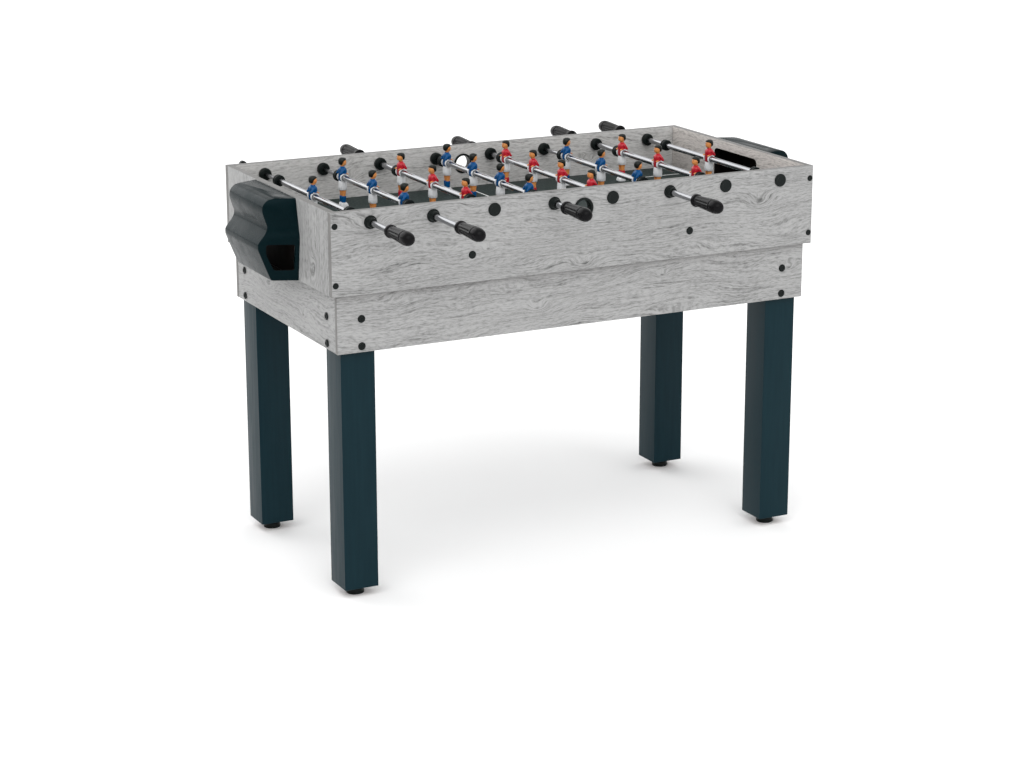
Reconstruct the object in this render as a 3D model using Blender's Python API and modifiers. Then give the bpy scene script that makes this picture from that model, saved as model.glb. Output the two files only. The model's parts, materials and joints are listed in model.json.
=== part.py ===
"""Foosball table: eight telescopic player rods in an oak-look cabinet on four square legs.

The table stands on the floor, z = 0, with the origin under its centre. X runs from goal to goal,
Y runs across the table along the rods, and Z is up. Near means -Y and left means -X.
"""

import bmesh
import bpy
from math import cos, pi, sin
from mathutils import Matrix, Vector

# Driving dimensions, in metres
LENGTH = 1.180              # cabinet walls, along X
WIDTH = 0.615               # cabinet walls, along Y
RIM_Z = 0.855               # top of the cabinet walls
WALLS_Z = 0.676             # underside of the cabinet walls
WALL = 0.015                # thickness of the cabinet walls
FIELD_Z = 0.7555            # playing surface
FIELD_THICK = 0.009
ROD_Z = 0.8285              # axes of the rods
ROD_PITCH = 0.1433          # from one rod to the next
APRON_Z = 0.5495            # underside of the apron boards
APRON_INSET_X = 0.0140      # apron face behind the cabinet face, at the ends
APRON_INSET_Y = 0.0113      # the same, along the sides
APRON_BOARD = 0.011
LEG = 0.078                 # square leg
LEG_BOTTOM = 0.020          # legs stand on levelling feet this high
BOLT_HEIGHTS = (0.563, 0.622)
BOLT_INSET = 0.005          # bolts sit this far from the leg's middle, towards the table's middle
SHANK_RADIUS = 0.0042
HEAD_RADIUS = 0.0085
HEAD_HEIGHT = 0.003
FOOT_RADII = (0.020, 0.018)
FOOT_HEIGHT = 0.012
STEM_RADIUS = 0.006
STEM_TOP = 0.028
GAP = 0.0003                # between pieces that touch

# Goals and serve holes
GOAL_HALF = 0.094
GOAL_TOP = 0.834
GOAL_CHAMFER = 0.012
SERVE_Z = 0.811
SERVE_RADIUS = 0.0183       # inside, a little over the ball's radius
SERVE_SLEEVE = 0.0205
SERVE_HOLE = 0.0212         # in the wall
SERVE_FLANGE = 0.0235

# Rods: tube, core, bearings, bumpers and handles
TUBE_RADIUS = 0.0065
TUBE_BORE = 0.0051
CORE_RADIUS = 0.0046
CORE_REACH = 0.100          # the core runs this far past the table's centre
BEARING_RADIUS = 0.0145
BEARING_INSIDE = 0.011      # how far a bearing stands in from the wall
FLANGE = 0.0035             # bearing flange outside the wall
NECK_LENGTH = 0.0125        # bearing neck outside the flange, on the handle's side
NECK_RADII = (0.0125, 0.0100)
TUBE_HOLE = 0.0070          # bearing bores for the tube and for the core
CORE_HOLE = 0.0050
BUMPER_RADIUS = 0.0130
BUMPER_LENGTH = 0.014
HANDLE_LENGTH = 0.102
HANDLE_BORE_DEPTH = 0.084
GOALIE_BUMPER = 0.194       # inner face of a goalkeeper rod's bumpers, from the figure
END_CAP_RADIUS = 0.0080
END_CAP_LENGTH = 0.014
ROD_1_END = 0.4400          # the first rod's core sticks out of the far wall to here

# Figures, measured from the rod's axis
FIGURE_HALF = 0.0130        # half of the shoulders, along the rod
BOSS_HALF = 0.0115
BOSS_RADIUS = 0.0115
FOOT_DROP = 0.068
THREE_MEN_PITCH = 0.170
FOUR_MEN_PITCH = 0.1396

# Ball-return boxes, measured from the end wall's face
RETURN_TOP = 0.8530
RETURN_BOTTOM = 0.6760
RETURN_WALL = 0.003
RETURN_FRONT_HALF = 0.101
# Side outlet seen from the side, (depth, height), clear of the front wall
OUTLET = ((0.008, 0.699), (0.050, 0.699), (0.066, 0.736), (0.066, 0.756), (0.008, 0.756))

# One row for each rod from left to right:
# team, role, men, side of the handle (-1 near, +1 far), rod's rest shift, handle's inner end
RODS = (
    ("blue", "goalkeeper", 1, -1, 0.0030, 0.4080),
    ("blue", "defender", 3, -1, 0.0065, 0.4380),
    ("red", "attacker", 3, 1, 0.0015, 0.4070),
    ("blue", "midfielder", 4, -1, 0.0200, 0.3610),
    ("red", "midfielder", 4, 1, -0.0015, 0.3870),
    ("blue", "attacker", 3, -1, 0.0040, 0.4175),
    ("red", "defender", 3, 1, -0.0090, 0.4110),
    ("red", "goalkeeper", 1, 1, -0.0020, 0.4210),
)
MEN_PITCH = {1: 0.0, 3: THREE_MEN_PITCH, 4: FOUR_MEN_PITCH}
SIDES = {"near": -1, "far": 1}
ENDS = {"left": -1, "right": 1}

# Worked out
HALF_X = LENGTH / 2
HALF_Y = WIDTH / 2
INNER_X = HALF_X - WALL
INNER_Y = HALF_Y - WALL
APRON_X = HALF_X - APRON_INSET_X
APRON_Y = HALF_Y - APRON_INSET_Y
APRON_TOP = WALLS_Z - GAP
LEG_X = APRON_X - APRON_BOARD - GAP - LEG / 2
LEG_Y = APRON_Y - APRON_BOARD - GAP - LEG / 2
BOLT_X = LEG_X - BOLT_INSET
BOLT_Y = LEG_Y - BOLT_INSET

MATERIALS = {
    "oak_board": ((0.37, 0.36, 0.34), 0.55, 0.0),
    "field_board": ((0.028, 0.043, 0.042), 0.45, 0.0),
    "leg_board": ((0.035, 0.062, 0.066), 0.5, 0.0),
    "return_plastic": ((0.07, 0.10, 0.11), 0.4, 0.0),
    "black_plastic": ((0.020, 0.020, 0.020), 0.45, 0.0),
    "rod_steel": ((0.70, 0.70, 0.70), 0.18, 1.0),
    "blue_plastic": ((0.012, 0.10, 0.42), 0.3, 0.0),
    "red_plastic": ((0.50, 0.015, 0.020), 0.3, 0.0),
}


def clear_scene():
    for obj in list(bpy.data.objects):
        bpy.data.objects.remove(obj, do_unlink=True)


def make_material(name):
    colour, roughness, metallic = MATERIALS[name]
    mat = bpy.data.materials.new(name)
    mat.use_nodes = True
    shader = mat.node_tree.nodes["Principled BSDF"]
    shader.inputs["Base Color"].default_value = (*colour, 1.0)
    shader.inputs["Roughness"].default_value = roughness
    shader.inputs["Metallic"].default_value = metallic
    return mat


def add_object(name, mesh, collection, material=None, place=None):
    obj = bpy.data.objects.new(name, mesh)
    collection.objects.link(obj)
    if material is not None:
        obj.data.materials.clear()
        obj.data.materials.append(material)
    if place is not None:
        obj.matrix_world = place
    return obj


def add_box(bm, low, high):
    """A box between two corners."""
    low, high = Vector(low), Vector(high)
    place = Matrix.Translation((low + high) / 2) @ Matrix.Diagonal((*(high - low), 1.0))
    return bmesh.ops.create_cube(bm, size=1.0, matrix=place)["verts"]


def add_cylinder_y(bm, x, z, start, end, radius, end_radius=None, sides=12):
    """A cylinder or cone along Y, from start to end."""
    turn = Matrix.Rotation(-pi / 2, 4, "X")
    place = Matrix.Translation((x, (start + end) / 2, z)) @ turn
    if end < start:
        place = place @ Matrix.Rotation(pi, 4, "X")
    bmesh.ops.create_cone(
        bm, cap_ends=True, segments=sides, radius1=radius,
        radius2=radius if end_radius is None else end_radius,
        depth=abs(end - start), matrix=place)


def add_cylinder_x(bm, y, z, start, end, radius, sides=8):
    place = Matrix.Translation(((start + end) / 2, y, z)) @ Matrix.Rotation(pi / 2, 4, "Y")
    bmesh.ops.create_cone(bm, cap_ends=True, segments=sides, radius1=radius, radius2=radius,
                          depth=abs(end - start), matrix=place)


def add_loft(bm, rings):
    """A closed skin over rings of points that run anticlockwise seen from the last ring."""
    levels = [[bm.verts.new(point) for point in ring] for ring in rings]
    for low, high in zip(levels, levels[1:]):
        for i in range(len(low)):
            j = (i + 1) % len(low)
            bm.faces.new((low[i], low[j], high[j], high[i]))
    bm.faces.new(reversed(levels[0]))
    bm.faces.new(levels[-1])


def mesh_from(builder, name="tool"):
    """A mesh from a function that fills a bmesh."""
    bm = bmesh.new()
    builder(bm)
    bmesh.ops.recalc_face_normals(bm, faces=bm.faces)
    mesh = bpy.data.meshes.new(name)
    bm.to_mesh(mesh)
    bm.free()
    return mesh


def boolean(mesh, steps, tools):
    """The mesh after union and difference steps, each with one builder for its tool."""
    obj = add_object("blank", mesh, tools)
    for operation, builder in steps:
        tool = add_object("tool", mesh_from(builder), tools)
        tool.hide_render = True
        tool.display_type = "WIRE"
        mod = obj.modifiers.new(operation, "BOOLEAN")
        mod.operation = operation
        mod.object = tool
        mod.use_self = operation == "UNION"
        obj.data = evaluated_mesh(obj)
        obj.modifiers.clear()
        bpy.data.objects.remove(tool, do_unlink=True)
    result = obj.data
    bpy.data.objects.remove(obj, do_unlink=True)
    return result


def evaluated_mesh(obj):
    graph = bpy.context.evaluated_depsgraph_get()
    return bpy.data.meshes.new_from_object(obj.evaluated_get(graph))


def smooth(mesh):
    mesh.shade_smooth()
    mesh.set_sharp_from_angle(angle=0.6)
    return mesh


def lathe(profile, tools, closed=True, steps=20):
    """A mesh turned about Z from (radius, height) points that run down the outer side."""
    mesh = bpy.data.meshes.new("turned")
    edges = [(i, i + 1) for i in range(len(profile) - 1)]
    if closed:
        edges.append((len(profile) - 1, 0))
    mesh.from_pydata([(r, 0.0, z) for r, z in profile], edges, [])
    obj = add_object("turned", mesh, tools)
    mod = obj.modifiers.new("turn", "SCREW")
    mod.steps = steps
    mod.render_steps = steps
    mod.use_merge_vertices = True
    mod.merge_threshold = 0.00005
    result = evaluated_mesh(obj)
    bpy.data.objects.remove(obj, do_unlink=True)
    return smooth(result)


def rod_x(index):
    return ROD_PITCH * (index - (len(RODS) - 1) / 2)


def along_rod(x, shift, handle_side):
    """Turns a lathe's Z to the handle's direction, with its origin on the rod's axis."""
    turn = Matrix.Rotation(-handle_side * pi / 2, 4, "X")
    return Matrix.Translation((x, shift, ROD_Z)) @ turn


# Cabinet

def side_panel(side, tools):
    """A long wall with its rod bearings: a neck where a handle is, a closed disc where none is."""
    sign = SIDES[side]
    inner, outer = sign * INNER_Y, sign * HALF_Y

    def board(bm):
        low, high = sorted((inner, outer))
        add_box(bm, (-HALF_X, low, WALLS_Z), (HALF_X, high, RIM_Z))

    def bearings(bm):
        for index in range(len(RODS)):
            add_cylinder_y(bm, rod_x(index), ROD_Z, inner - sign * BEARING_INSIDE,
                           outer + sign * FLANGE, BEARING_RADIUS)

    def necks(bm):
        for index, (_, _, _, handle_side, _, _) in enumerate(RODS):
            if handle_side == sign:
                start = outer + sign * FLANGE / 2
                end = outer + sign * (FLANGE + NECK_LENGTH)
                add_cylinder_y(bm, rod_x(index), ROD_Z, start, end, *NECK_RADII)

    def bores(bm):
        for index, (_, _, _, handle_side, _, _) in enumerate(RODS):
            radius = TUBE_HOLE if handle_side == sign else CORE_HOLE
            through = handle_side == sign or index == 0
            add_cylinder_y(bm, rod_x(index), ROD_Z, sign * (INNER_Y - 0.05),
                           sign * (HALF_Y + (0.05 if through else 0.001)), radius)

    def serve_hole(bm):
        add_cylinder_y(bm, 0, SERVE_Z, sign * (INNER_Y - 0.05), sign * (HALF_Y + 0.05),
                       SERVE_HOLE)

    steps = [("UNION", bearings), ("UNION", necks), ("DIFFERENCE", bores),
             ("DIFFERENCE", serve_hole)]
    return boolean(mesh_from(board), steps, tools)


def end_panel(end, tools):
    """A short wall between the long ones, with the goal mouth."""
    sign = ENDS[end]
    low_x, high_x = sorted((sign * INNER_X, sign * HALF_X))
    half = INNER_Y - GAP

    def board(bm):
        add_box(bm, (low_x, -half, WALLS_Z), (high_x, half, RIM_Z))

    def mouth(bm):
        verts = add_box(bm, (low_x - 0.05, -GOAL_HALF, FIELD_Z + GAP),
                        (high_x + 0.05, GOAL_HALF, GOAL_TOP))
        top = [e for e in bm.edges if all(v in verts and v.co.z > GOAL_TOP - 0.001 for v in e.verts)
               and abs(e.verts[0].co.y - e.verts[1].co.y) < 0.001]
        bmesh.ops.bevel(bm, geom=top, offset=GOAL_CHAMFER, segments=3, profile=0.5,
                        affect="EDGES", clamp_overlap=True)

    return boolean(mesh_from(board), [("DIFFERENCE", mouth)], tools)


def playfield():
    half_x = INNER_X - GAP
    half_y = INNER_Y - GAP
    return mesh_from(lambda bm: add_box(bm, (-half_x, -half_y, FIELD_Z - FIELD_THICK),
                                        (half_x, half_y, FIELD_Z)))


def apron_frame(tools):
    """Four boards screwed into a rectangle under the cabinet, drilled for the leg bolts."""
    def outer(bm):
        add_box(bm, (-APRON_X, -APRON_Y, APRON_Z), (APRON_X, APRON_Y, APRON_TOP))

    def inside(bm):
        x, y = APRON_X - APRON_BOARD, APRON_Y - APRON_BOARD
        add_box(bm, (-x, -y, APRON_Z - 0.05), (x, y, APRON_TOP + 0.05))

    def drillings(bm):
        for x_sign in ENDS.values():
            for y_sign in SIDES.values():
                add_leg_bolts(bm, x_sign, y_sign, shank=SHANK_RADIUS + GAP,
                              head=0.0, reach=0.03)

    return boolean(mesh_from(outer), [("DIFFERENCE", inside), ("DIFFERENCE", drillings)], tools)


def add_leg_bolts(bm, x_sign, y_sign, shank, head, reach=0.0):
    """Two bolts through each apron board into a leg; head is the radius of the bolt's cap."""
    end_x = x_sign * (APRON_X + GAP + reach)
    end_y = y_sign * (APRON_Y + GAP + reach)
    for z in BOLT_HEIGHTS:
        add_cylinder_y(bm, x_sign * BOLT_X, z, y_sign * (LEG_Y + LEG / 3), end_y, shank, sides=8)
        add_cylinder_x(bm, y_sign * BOLT_Y, z, x_sign * (LEG_X + LEG / 3), end_x, shank)
        if head:
            add_cylinder_y(bm, x_sign * BOLT_X, z, end_y, end_y + y_sign * HEAD_HEIGHT, head,
                           sides=8)
            add_cylinder_x(bm, y_sign * BOLT_Y, z, end_x, end_x + x_sign * HEAD_HEIGHT, head)


def leg(x_sign, y_sign, tools):
    """A square leg with its levelling foot and its four bolts."""
    x, y = x_sign * LEG_X, y_sign * LEG_Y

    def post(bm):
        half = LEG / 2
        add_box(bm, (x - half, y - half, LEG_BOTTOM), (x + half, y + half, APRON_TOP))

    def foot(bm):
        up = Matrix.Translation((x, y, FOOT_HEIGHT / 2))
        bmesh.ops.create_cone(bm, cap_ends=True, segments=16, radius1=FOOT_RADII[0],
                              radius2=FOOT_RADII[1], depth=FOOT_HEIGHT, matrix=up)

    def stem(bm):
        low = FOOT_HEIGHT - 0.004
        up = Matrix.Translation((x, y, (low + STEM_TOP) / 2))
        bmesh.ops.create_cone(bm, cap_ends=True, segments=8, radius1=STEM_RADIUS,
                              radius2=STEM_RADIUS, depth=STEM_TOP - low, matrix=up)

    def shanks(bm):
        add_leg_bolts(bm, x_sign, y_sign, shank=SHANK_RADIUS, head=0.0, reach=0.001)

    def heads(bm):
        add_leg_bolts(bm, x_sign, y_sign, shank=SHANK_RADIUS * 0.7, head=HEAD_RADIUS)

    steps = [("UNION", foot), ("UNION", stem), ("UNION", shanks), ("UNION", heads)]
    return boolean(mesh_from(post), steps, tools)


# Ball return and serve cup

# Outline of a ball-return box seen from the side: depth out from the wall, height
RETURN_OUTLINE = (
    (0.052, 0.6760), (0.056, 0.6820), (0.077, 0.7340), (0.0812, 0.7480), (0.0790, 0.7590),
    (0.064, 0.7780), (0.0592, 0.7915), (0.0640, 0.8080), (0.0688, 0.8260), (0.0664, 0.8400),
    (0.0565, 0.8498), (0.0440, 0.8530),
)


def return_half_width(height):
    """Half width of a ball-return box at the wall: widest below its middle."""
    wide_at = 0.772
    if height > wide_at:
        return 0.1367 - 0.0187 * (height - wide_at) / (RETURN_TOP - wide_at)
    return 0.1367 - 0.0128 * (wide_at - height) / (wide_at - RETURN_BOTTOM)


def add_return_body(bm, sign, shrink, back):
    """Stacked level sections of the box, each a trapezoid that narrows to the front."""
    rings = []
    for depth, height in RETURN_OUTLINE:
        height = min(max(height, RETURN_BOTTOM + shrink), RETURN_TOP - shrink)
        wide = return_half_width(height) - shrink
        front = RETURN_FRONT_HALF - shrink
        deep = depth - shrink
        corners = ((back, -wide), (deep - 0.004, -front), (deep, -front + 0.008),
                   (deep, front - 0.008), (deep - 0.004, front), (back, wide))
        rings.append([(sign * (HALF_X + x), y, height) for x, y in corners])
    add_loft(bm, rings)


def ball_return(end, tools):
    """A moulded box outside the goal: open at the wall, with an outlet in each side."""
    sign = ENDS[end]

    def outlets(bm):
        add_loft(bm, [[(sign * (HALF_X + depth), y, height) for depth, height in OUTLET]
                      for y in (-WIDTH / 3, WIDTH / 3)])

    steps = [("DIFFERENCE", lambda bm: add_return_body(bm, sign, RETURN_WALL, -0.010)),
             ("DIFFERENCE", outlets)]
    blank = mesh_from(lambda bm: add_return_body(bm, sign, 0.0, GAP))
    return boolean(blank, steps, tools)


def serve_cup(side, tools):
    """A sleeve through the long wall with a flange on each face."""
    sign = SIDES[side]
    face = sign * (HALF_Y + GAP)

    def sleeve(bm):
        add_cylinder_y(bm, 0, SERVE_Z, sign * (INNER_Y - 0.0025), face + sign * 0.0025,
                       SERVE_SLEEVE)

    def outer_flange(bm):
        add_cylinder_y(bm, 0, SERVE_Z, face, face + sign * 0.0030, SERVE_FLANGE)

    def inner_flange(bm):
        add_cylinder_y(bm, 0, SERVE_Z, sign * (INNER_Y - 0.0030), sign * (INNER_Y - GAP),
                       SERVE_FLANGE)

    def bore(bm):
        add_cylinder_y(bm, 0, SERVE_Z, sign * (INNER_Y - 0.05), sign * (HALF_Y + 0.05),
                       SERVE_RADIUS)

    steps = [("UNION", outer_flange), ("UNION", inner_flange), ("DIFFERENCE", bore)]
    return smooth(boolean(mesh_from(sleeve), steps, tools))


# Rods and what they carry

def bumper_start(men):
    """Inner face of a rod's bumpers, from the middle of its men."""
    if men == 1:
        return GOALIE_BUMPER
    return MEN_PITCH[men] * (men - 1) / 2 + FIGURE_HALF + GAP


def rod_tube(men, handle_side, shift, handle_start, tools):
    """Hollow steel tube with a rubber bumper on each side of the men; Z is towards the handle."""
    start = bumper_start(men)
    end = start + BUMPER_LENGTH
    grip = handle_start - handle_side * shift + HANDLE_BORE_DEPTH - 0.003
    tail = -(end + 0.0005)
    r, b = TUBE_RADIUS, BUMPER_RADIUS
    outline = [(TUBE_BORE, grip), (r, grip), (r, end), (b, end), (b, start), (r, start),
               (r, -start), (b, -start), (b, -end), (r, -end), (r, tail), (TUBE_BORE, tail)]
    return lathe(outline, tools, steps=12)


def rod_core(index, handle_side, tools):
    """The thinner rod inside the tube, held by the far bearing; Z is towards the handle."""
    r = CORE_RADIUS
    if index == 0:
        end, cap = -ROD_1_END, END_CAP_RADIUS
        shoulder = end + END_CAP_LENGTH
        outline = [(0, CORE_REACH), (r, CORE_REACH), (r, shoulder), (cap, shoulder),
                   (cap, end + 0.003), (cap - 0.003, end), (0, end)]
    else:
        end = -(HALF_Y + 0.0005)
        outline = [(0, CORE_REACH), (r, CORE_REACH), (r, end), (0, end)]
    return lathe(outline, tools, closed=False, steps=12)


def handle(tools):
    """Grip turned about Z, from its collar at z = 0 to its rounded outer end."""
    bore = TUBE_RADIUS + 0.0006
    outline = [(0, HANDLE_LENGTH), (0.0090, HANDLE_LENGTH - 0.0025),
               (0.0138, HANDLE_LENGTH - 0.0105), (0.0150, HANDLE_LENGTH - 0.022),
               (0.0132, 0.035), (0.0120, 0.015), (0.0142, 0.009), (0.0142, 0.0), (bore, 0.0),
               (bore, HANDLE_BORE_DEPTH), (0, HANDLE_BORE_DEPTH)]
    return lathe(outline, tools, closed=False, steps=16)


# A figure's level sections: height, centre x, half depth x, half width y
FIGURE_SECTIONS = (
    (-FOOT_DROP, 0.0015, 0.0105, 0.0095), (-0.0560, 0.0005, 0.0070, 0.0090),
    (-0.0280, 0.0, 0.0095, 0.0112), (0.0210, 0.0, 0.0092, FIGURE_HALF),
    (0.0265, 0.0006, 0.0058, 0.0062), (0.0350, 0.0006, 0.0096, 0.0086),
    (0.0450, 0.0006, 0.0045, 0.0040),
)


def figure(tools):
    """A player facing +X, with the rod's axis along Y through its origin."""
    sides = 6

    def body(bm):
        angles = [2 * pi * i / sides for i in range(sides)]
        add_loft(bm, [[(x + dx * cos(a), dy * sin(a), z) for a in angles]
                      for z, x, dx, dy in FIGURE_SECTIONS])

    def boss(bm):
        add_cylinder_y(bm, 0, 0, -BOSS_HALF, BOSS_HALF, BOSS_RADIUS, sides=10)

    def bore(bm):
        add_cylinder_y(bm, 0, 0, -0.03, 0.03, TUBE_RADIUS + 0.0006, sides=10)

    return boolean(mesh_from(body), [("UNION", boss), ("DIFFERENCE", bore)], tools)


def build_rod(index, meshes, parts, tools, materials):
    team, role, men, handle_side, shift, handle_start = RODS[index]
    number = index + 1
    x = rod_x(index)
    centred = along_rod(x, shift, handle_side)
    steel, black = materials["rod_steel"], materials["black_plastic"]
    tube = rod_tube(men, handle_side, shift, handle_start, tools)
    add_object(f"rod_{number}", tube, parts, steel, centred)
    core = rod_core(index, handle_side, tools)
    add_object(f"inner_rod_{number}", core, parts, steel, along_rod(x, 0.0, handle_side))
    grip_place = along_rod(x, handle_side * handle_start, handle_side)
    add_object(f"handle_{number}", meshes["handle"], parts, black, grip_place)
    turn = Matrix.Rotation(0.0 if team == "blue" else pi, 4, "Z")
    for man in range(men):
        y = shift + MEN_PITCH[men] * (man - (men - 1) / 2)
        name = f"{team}_{role}" if men == 1 else f"{team}_{role}_{man + 1}"
        place = Matrix.Translation((x, y, ROD_Z)) @ turn
        add_object(name, meshes[team], parts, materials[f"{team}_plastic"], place)


def build_table():
    clear_scene()
    parts = bpy.data.collections.new("foosball_table")
    tools = bpy.data.collections.new("cutters")
    for collection in (parts, tools):
        bpy.context.scene.collection.children.link(collection)
    materials = {name: make_material(name) for name in MATERIALS}
    oak = materials["oak_board"]

    for side in SIDES:
        add_object(f"side_panel_{side}", side_panel(side, tools), parts, oak)
        add_object(f"serve_cup_{side}", serve_cup(side, tools), parts, materials["black_plastic"])
    for end in ENDS:
        add_object(f"end_panel_{end}", end_panel(end, tools), parts, oak)
        add_object(f"ball_return_{end}", ball_return(end, tools), parts,
                   materials["return_plastic"])
    add_object("playfield", playfield(), parts, materials["field_board"])
    add_object("apron_frame", apron_frame(tools), parts, oak)
    for side, y_sign in SIDES.items():
        for end, x_sign in ENDS.items():
            mesh = leg(x_sign, y_sign, tools)
            add_object(f"leg_{side}_{end}", mesh, parts, materials["leg_board"])

    man = figure(tools)
    meshes = {"handle": handle(tools), "blue": man, "red": man.copy()}
    for index in range(len(RODS)):
        build_rod(index, meshes, parts, tools, materials)


build_table()
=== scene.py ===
import json
from math import cos, pi, radians, sin

import bmesh
import bpy
from mathutils import Matrix, Vector


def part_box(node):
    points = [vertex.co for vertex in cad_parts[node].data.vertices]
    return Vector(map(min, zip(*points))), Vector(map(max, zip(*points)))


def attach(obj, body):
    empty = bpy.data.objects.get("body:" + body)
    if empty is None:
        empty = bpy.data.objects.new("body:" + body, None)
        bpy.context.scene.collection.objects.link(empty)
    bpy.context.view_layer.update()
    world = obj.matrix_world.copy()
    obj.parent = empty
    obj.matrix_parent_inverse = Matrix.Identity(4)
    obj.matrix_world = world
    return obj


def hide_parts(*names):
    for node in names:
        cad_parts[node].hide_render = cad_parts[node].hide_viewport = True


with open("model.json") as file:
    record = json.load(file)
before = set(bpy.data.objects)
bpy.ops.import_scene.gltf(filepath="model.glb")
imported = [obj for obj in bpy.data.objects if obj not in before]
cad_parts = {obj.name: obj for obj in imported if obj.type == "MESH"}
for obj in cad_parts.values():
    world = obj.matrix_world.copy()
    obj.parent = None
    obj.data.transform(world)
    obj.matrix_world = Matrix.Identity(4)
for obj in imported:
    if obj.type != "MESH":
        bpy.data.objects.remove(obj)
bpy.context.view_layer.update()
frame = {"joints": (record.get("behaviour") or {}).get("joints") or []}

SIDES = {"near": -1, "far": 1}
ENDS = {"left": -1, "right": 1}
GAP = 0.0003                # between pieces that touch

# Cabinet sizes, in metres, read from the frame
side_low, side_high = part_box("side_panel_near")
HALF_X, RIM_Z, WALLS_Z = side_high.x, side_high.z, side_low.z
HALF_Y = 0.3075             # the panel's box also holds its bearings
WALL = 0.015
INNER_X, INNER_Y = HALF_X - WALL, HALF_Y - WALL
FIELD_LOW, FIELD_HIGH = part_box("playfield")
FIELD_Z = FIELD_HIGH.z
APRON_LOW, APRON_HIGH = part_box("apron_frame")
APRON_BOARD = 0.011
LEG_X, LEG_Y, LEG_HALF, LEG_BOTTOM = 0.5257, 0.2459, 0.039, 0.020
BOLT_X, BOLT_Y, BOLT_HEIGHTS = LEG_X - 0.005, LEG_Y - 0.005, (0.563, 0.622)
BEARING_HOLE, SERVE_HOLE, BOLT_HOLE = 0.0105, 0.0212, 0.0046
GOAL_HALF, GOAL_TOP, GOAL_CORNER = 0.094, 0.834, 0.012
SERVE_Z = 0.811
PAST = 0.010                # how far a cutter runs past each face
INSET = 0.002               # a face nearer to an edge than this is part of the edge
# Lines: depth and half width of the boxes, the circle, and the arcs in front of the boxes
BOXES = ((0.085, 0.120), (0.170, 0.195))
CENTRE_CIRCLE, ARC_DEPTH, ARC_RADIUS, ARC_TRIM = 0.075, 0.120, 0.085, 0.95
# Screw caps on each half of a long wall: distance from the middle, height, radius
WALL_SCREWS = ((0.5817, 0.826, 0.0066), (0.5817, 0.701, 0.0066), (0.2675, 0.7355, 0.0086))

# Rods
HINGES = [j for j in frame["joints"] if j["name"].endswith("_spin")]
ROD_Z = 0.8285
TUBE_RADIUS, TUBE_BORE, CORE_RADIUS = 0.0065, 0.0051, 0.0046
BEARING_RADIUS, BEARING_INSIDE, FLANGE, NECK = 0.0145, 0.011, 0.0035, 0.0125
CORE_BORE = 0.0050
BUMPER_RADIUS, BUMPER_LENGTH = 0.0130, 0.014
HANDLE_LENGTH, HANDLE_BORE_DEPTH = 0.102, 0.084
ROD_HOLE = TUBE_RADIUS + 0.0006     # through a man, and into a handle
GOALKEEPER_BUMPER = 0.194   # from a goalkeeper's middle to each bumper
MAN_TO_BUMPER = 0.0133      # from the middle of the outer man on other rods
END_CAP_RADIUS = 0.0080
# One row for each rod from left to right: team, role, men, side of its handle
RODS = (
    ("blue", "goalkeeper", 1, -1), ("blue", "defender", 3, -1), ("red", "attacker", 3, 1),
    ("blue", "midfielder", 4, -1), ("red", "midfielder", 4, 1), ("blue", "attacker", 3, -1),
    ("red", "defender", 3, 1), ("red", "goalkeeper", 1, 1),
)


# Meshes

def in_scene(name, data):
    """A new object in the scene."""
    obj = bpy.data.objects.new(name, data)
    bpy.context.scene.collection.objects.link(obj)
    return obj


def mesh_from(builder, name="mesh"):
    """A mesh from a function that fills a bmesh."""
    bm = bmesh.new()
    builder(bm)
    bmesh.ops.recalc_face_normals(bm, faces=bm.faces)
    mesh = bpy.data.meshes.new(name)
    bm.to_mesh(mesh)
    bm.free()
    return mesh


def applied(mesh, *modifiers):
    """The mesh after modifiers, each a type and its settings."""
    obj = in_scene("blank", mesh)
    for kind, settings in modifiers:
        mod = obj.modifiers.new(kind, kind)
        for key, value in settings.items():
            setattr(mod, key, value)
    graph = bpy.context.evaluated_depsgraph_get()
    result = bpy.data.meshes.new_from_object(obj.evaluated_get(graph))
    bpy.data.objects.remove(obj, do_unlink=True)
    return result


def combined(mesh, operation, builder):
    """The mesh after one boolean step with the tool that the builder makes."""
    tool = in_scene("tool", mesh_from(builder))
    result = applied(mesh, ("BOOLEAN", {"operation": operation, "object": tool}))
    bpy.data.objects.remove(tool, do_unlink=True)
    return result


def bevelled(mesh, width, segments, angle):
    """The mesh with every edge sharper than the angle, in radians, rounded off."""
    return applied(mesh, ("BEVEL", {"width": width, "segments": segments, "angle_limit": angle,
                                    "limit_method": "ANGLE", "harden_normals": False}))


def smooth(mesh, angle=0.6):
    mesh.shade_smooth()
    mesh.set_sharp_from_angle(angle=angle)
    return mesh


def add_box(bm, low, high, bevel=0.0, segments=2):
    low, high = Vector(low), Vector(high)
    place = Matrix.Translation((low + high) / 2) @ Matrix.Diagonal((*(high - low), 1.0))
    verts = bmesh.ops.create_cube(bm, size=1.0, matrix=place)["verts"]
    if bevel:
        edges = list({e for v in verts for e in v.link_edges})
        bmesh.ops.bevel(bm, geom=edges, offset=bevel, segments=segments, profile=0.6,
                        affect="EDGES", clamp_overlap=True)


def pointing_y(x, y, z, sign):
    """Turns a turned piece's Z to +Y or -Y."""
    return Matrix.Translation((x, y, z)) @ Matrix.Rotation(-sign * pi / 2, 4, "X")


def pointing_x(x, y, z, sign):
    """Turns a turned piece's Z to +X or -X."""
    return Matrix.Translation((x, y, z)) @ Matrix.Rotation(sign * pi / 2, 4, "Y")


def add_cylinder(bm, axis, across, z, start, end, radius, sides=32):
    """A cylinder that runs along X or Y from start to end."""
    middle = (start + end) / 2
    place = pointing_x(middle, across, z, 1) if axis == "X" else pointing_y(across, middle, z, 1)
    bmesh.ops.create_cone(bm, cap_ends=True, segments=sides, radius1=radius, radius2=radius,
                          depth=end - start, matrix=place)


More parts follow.
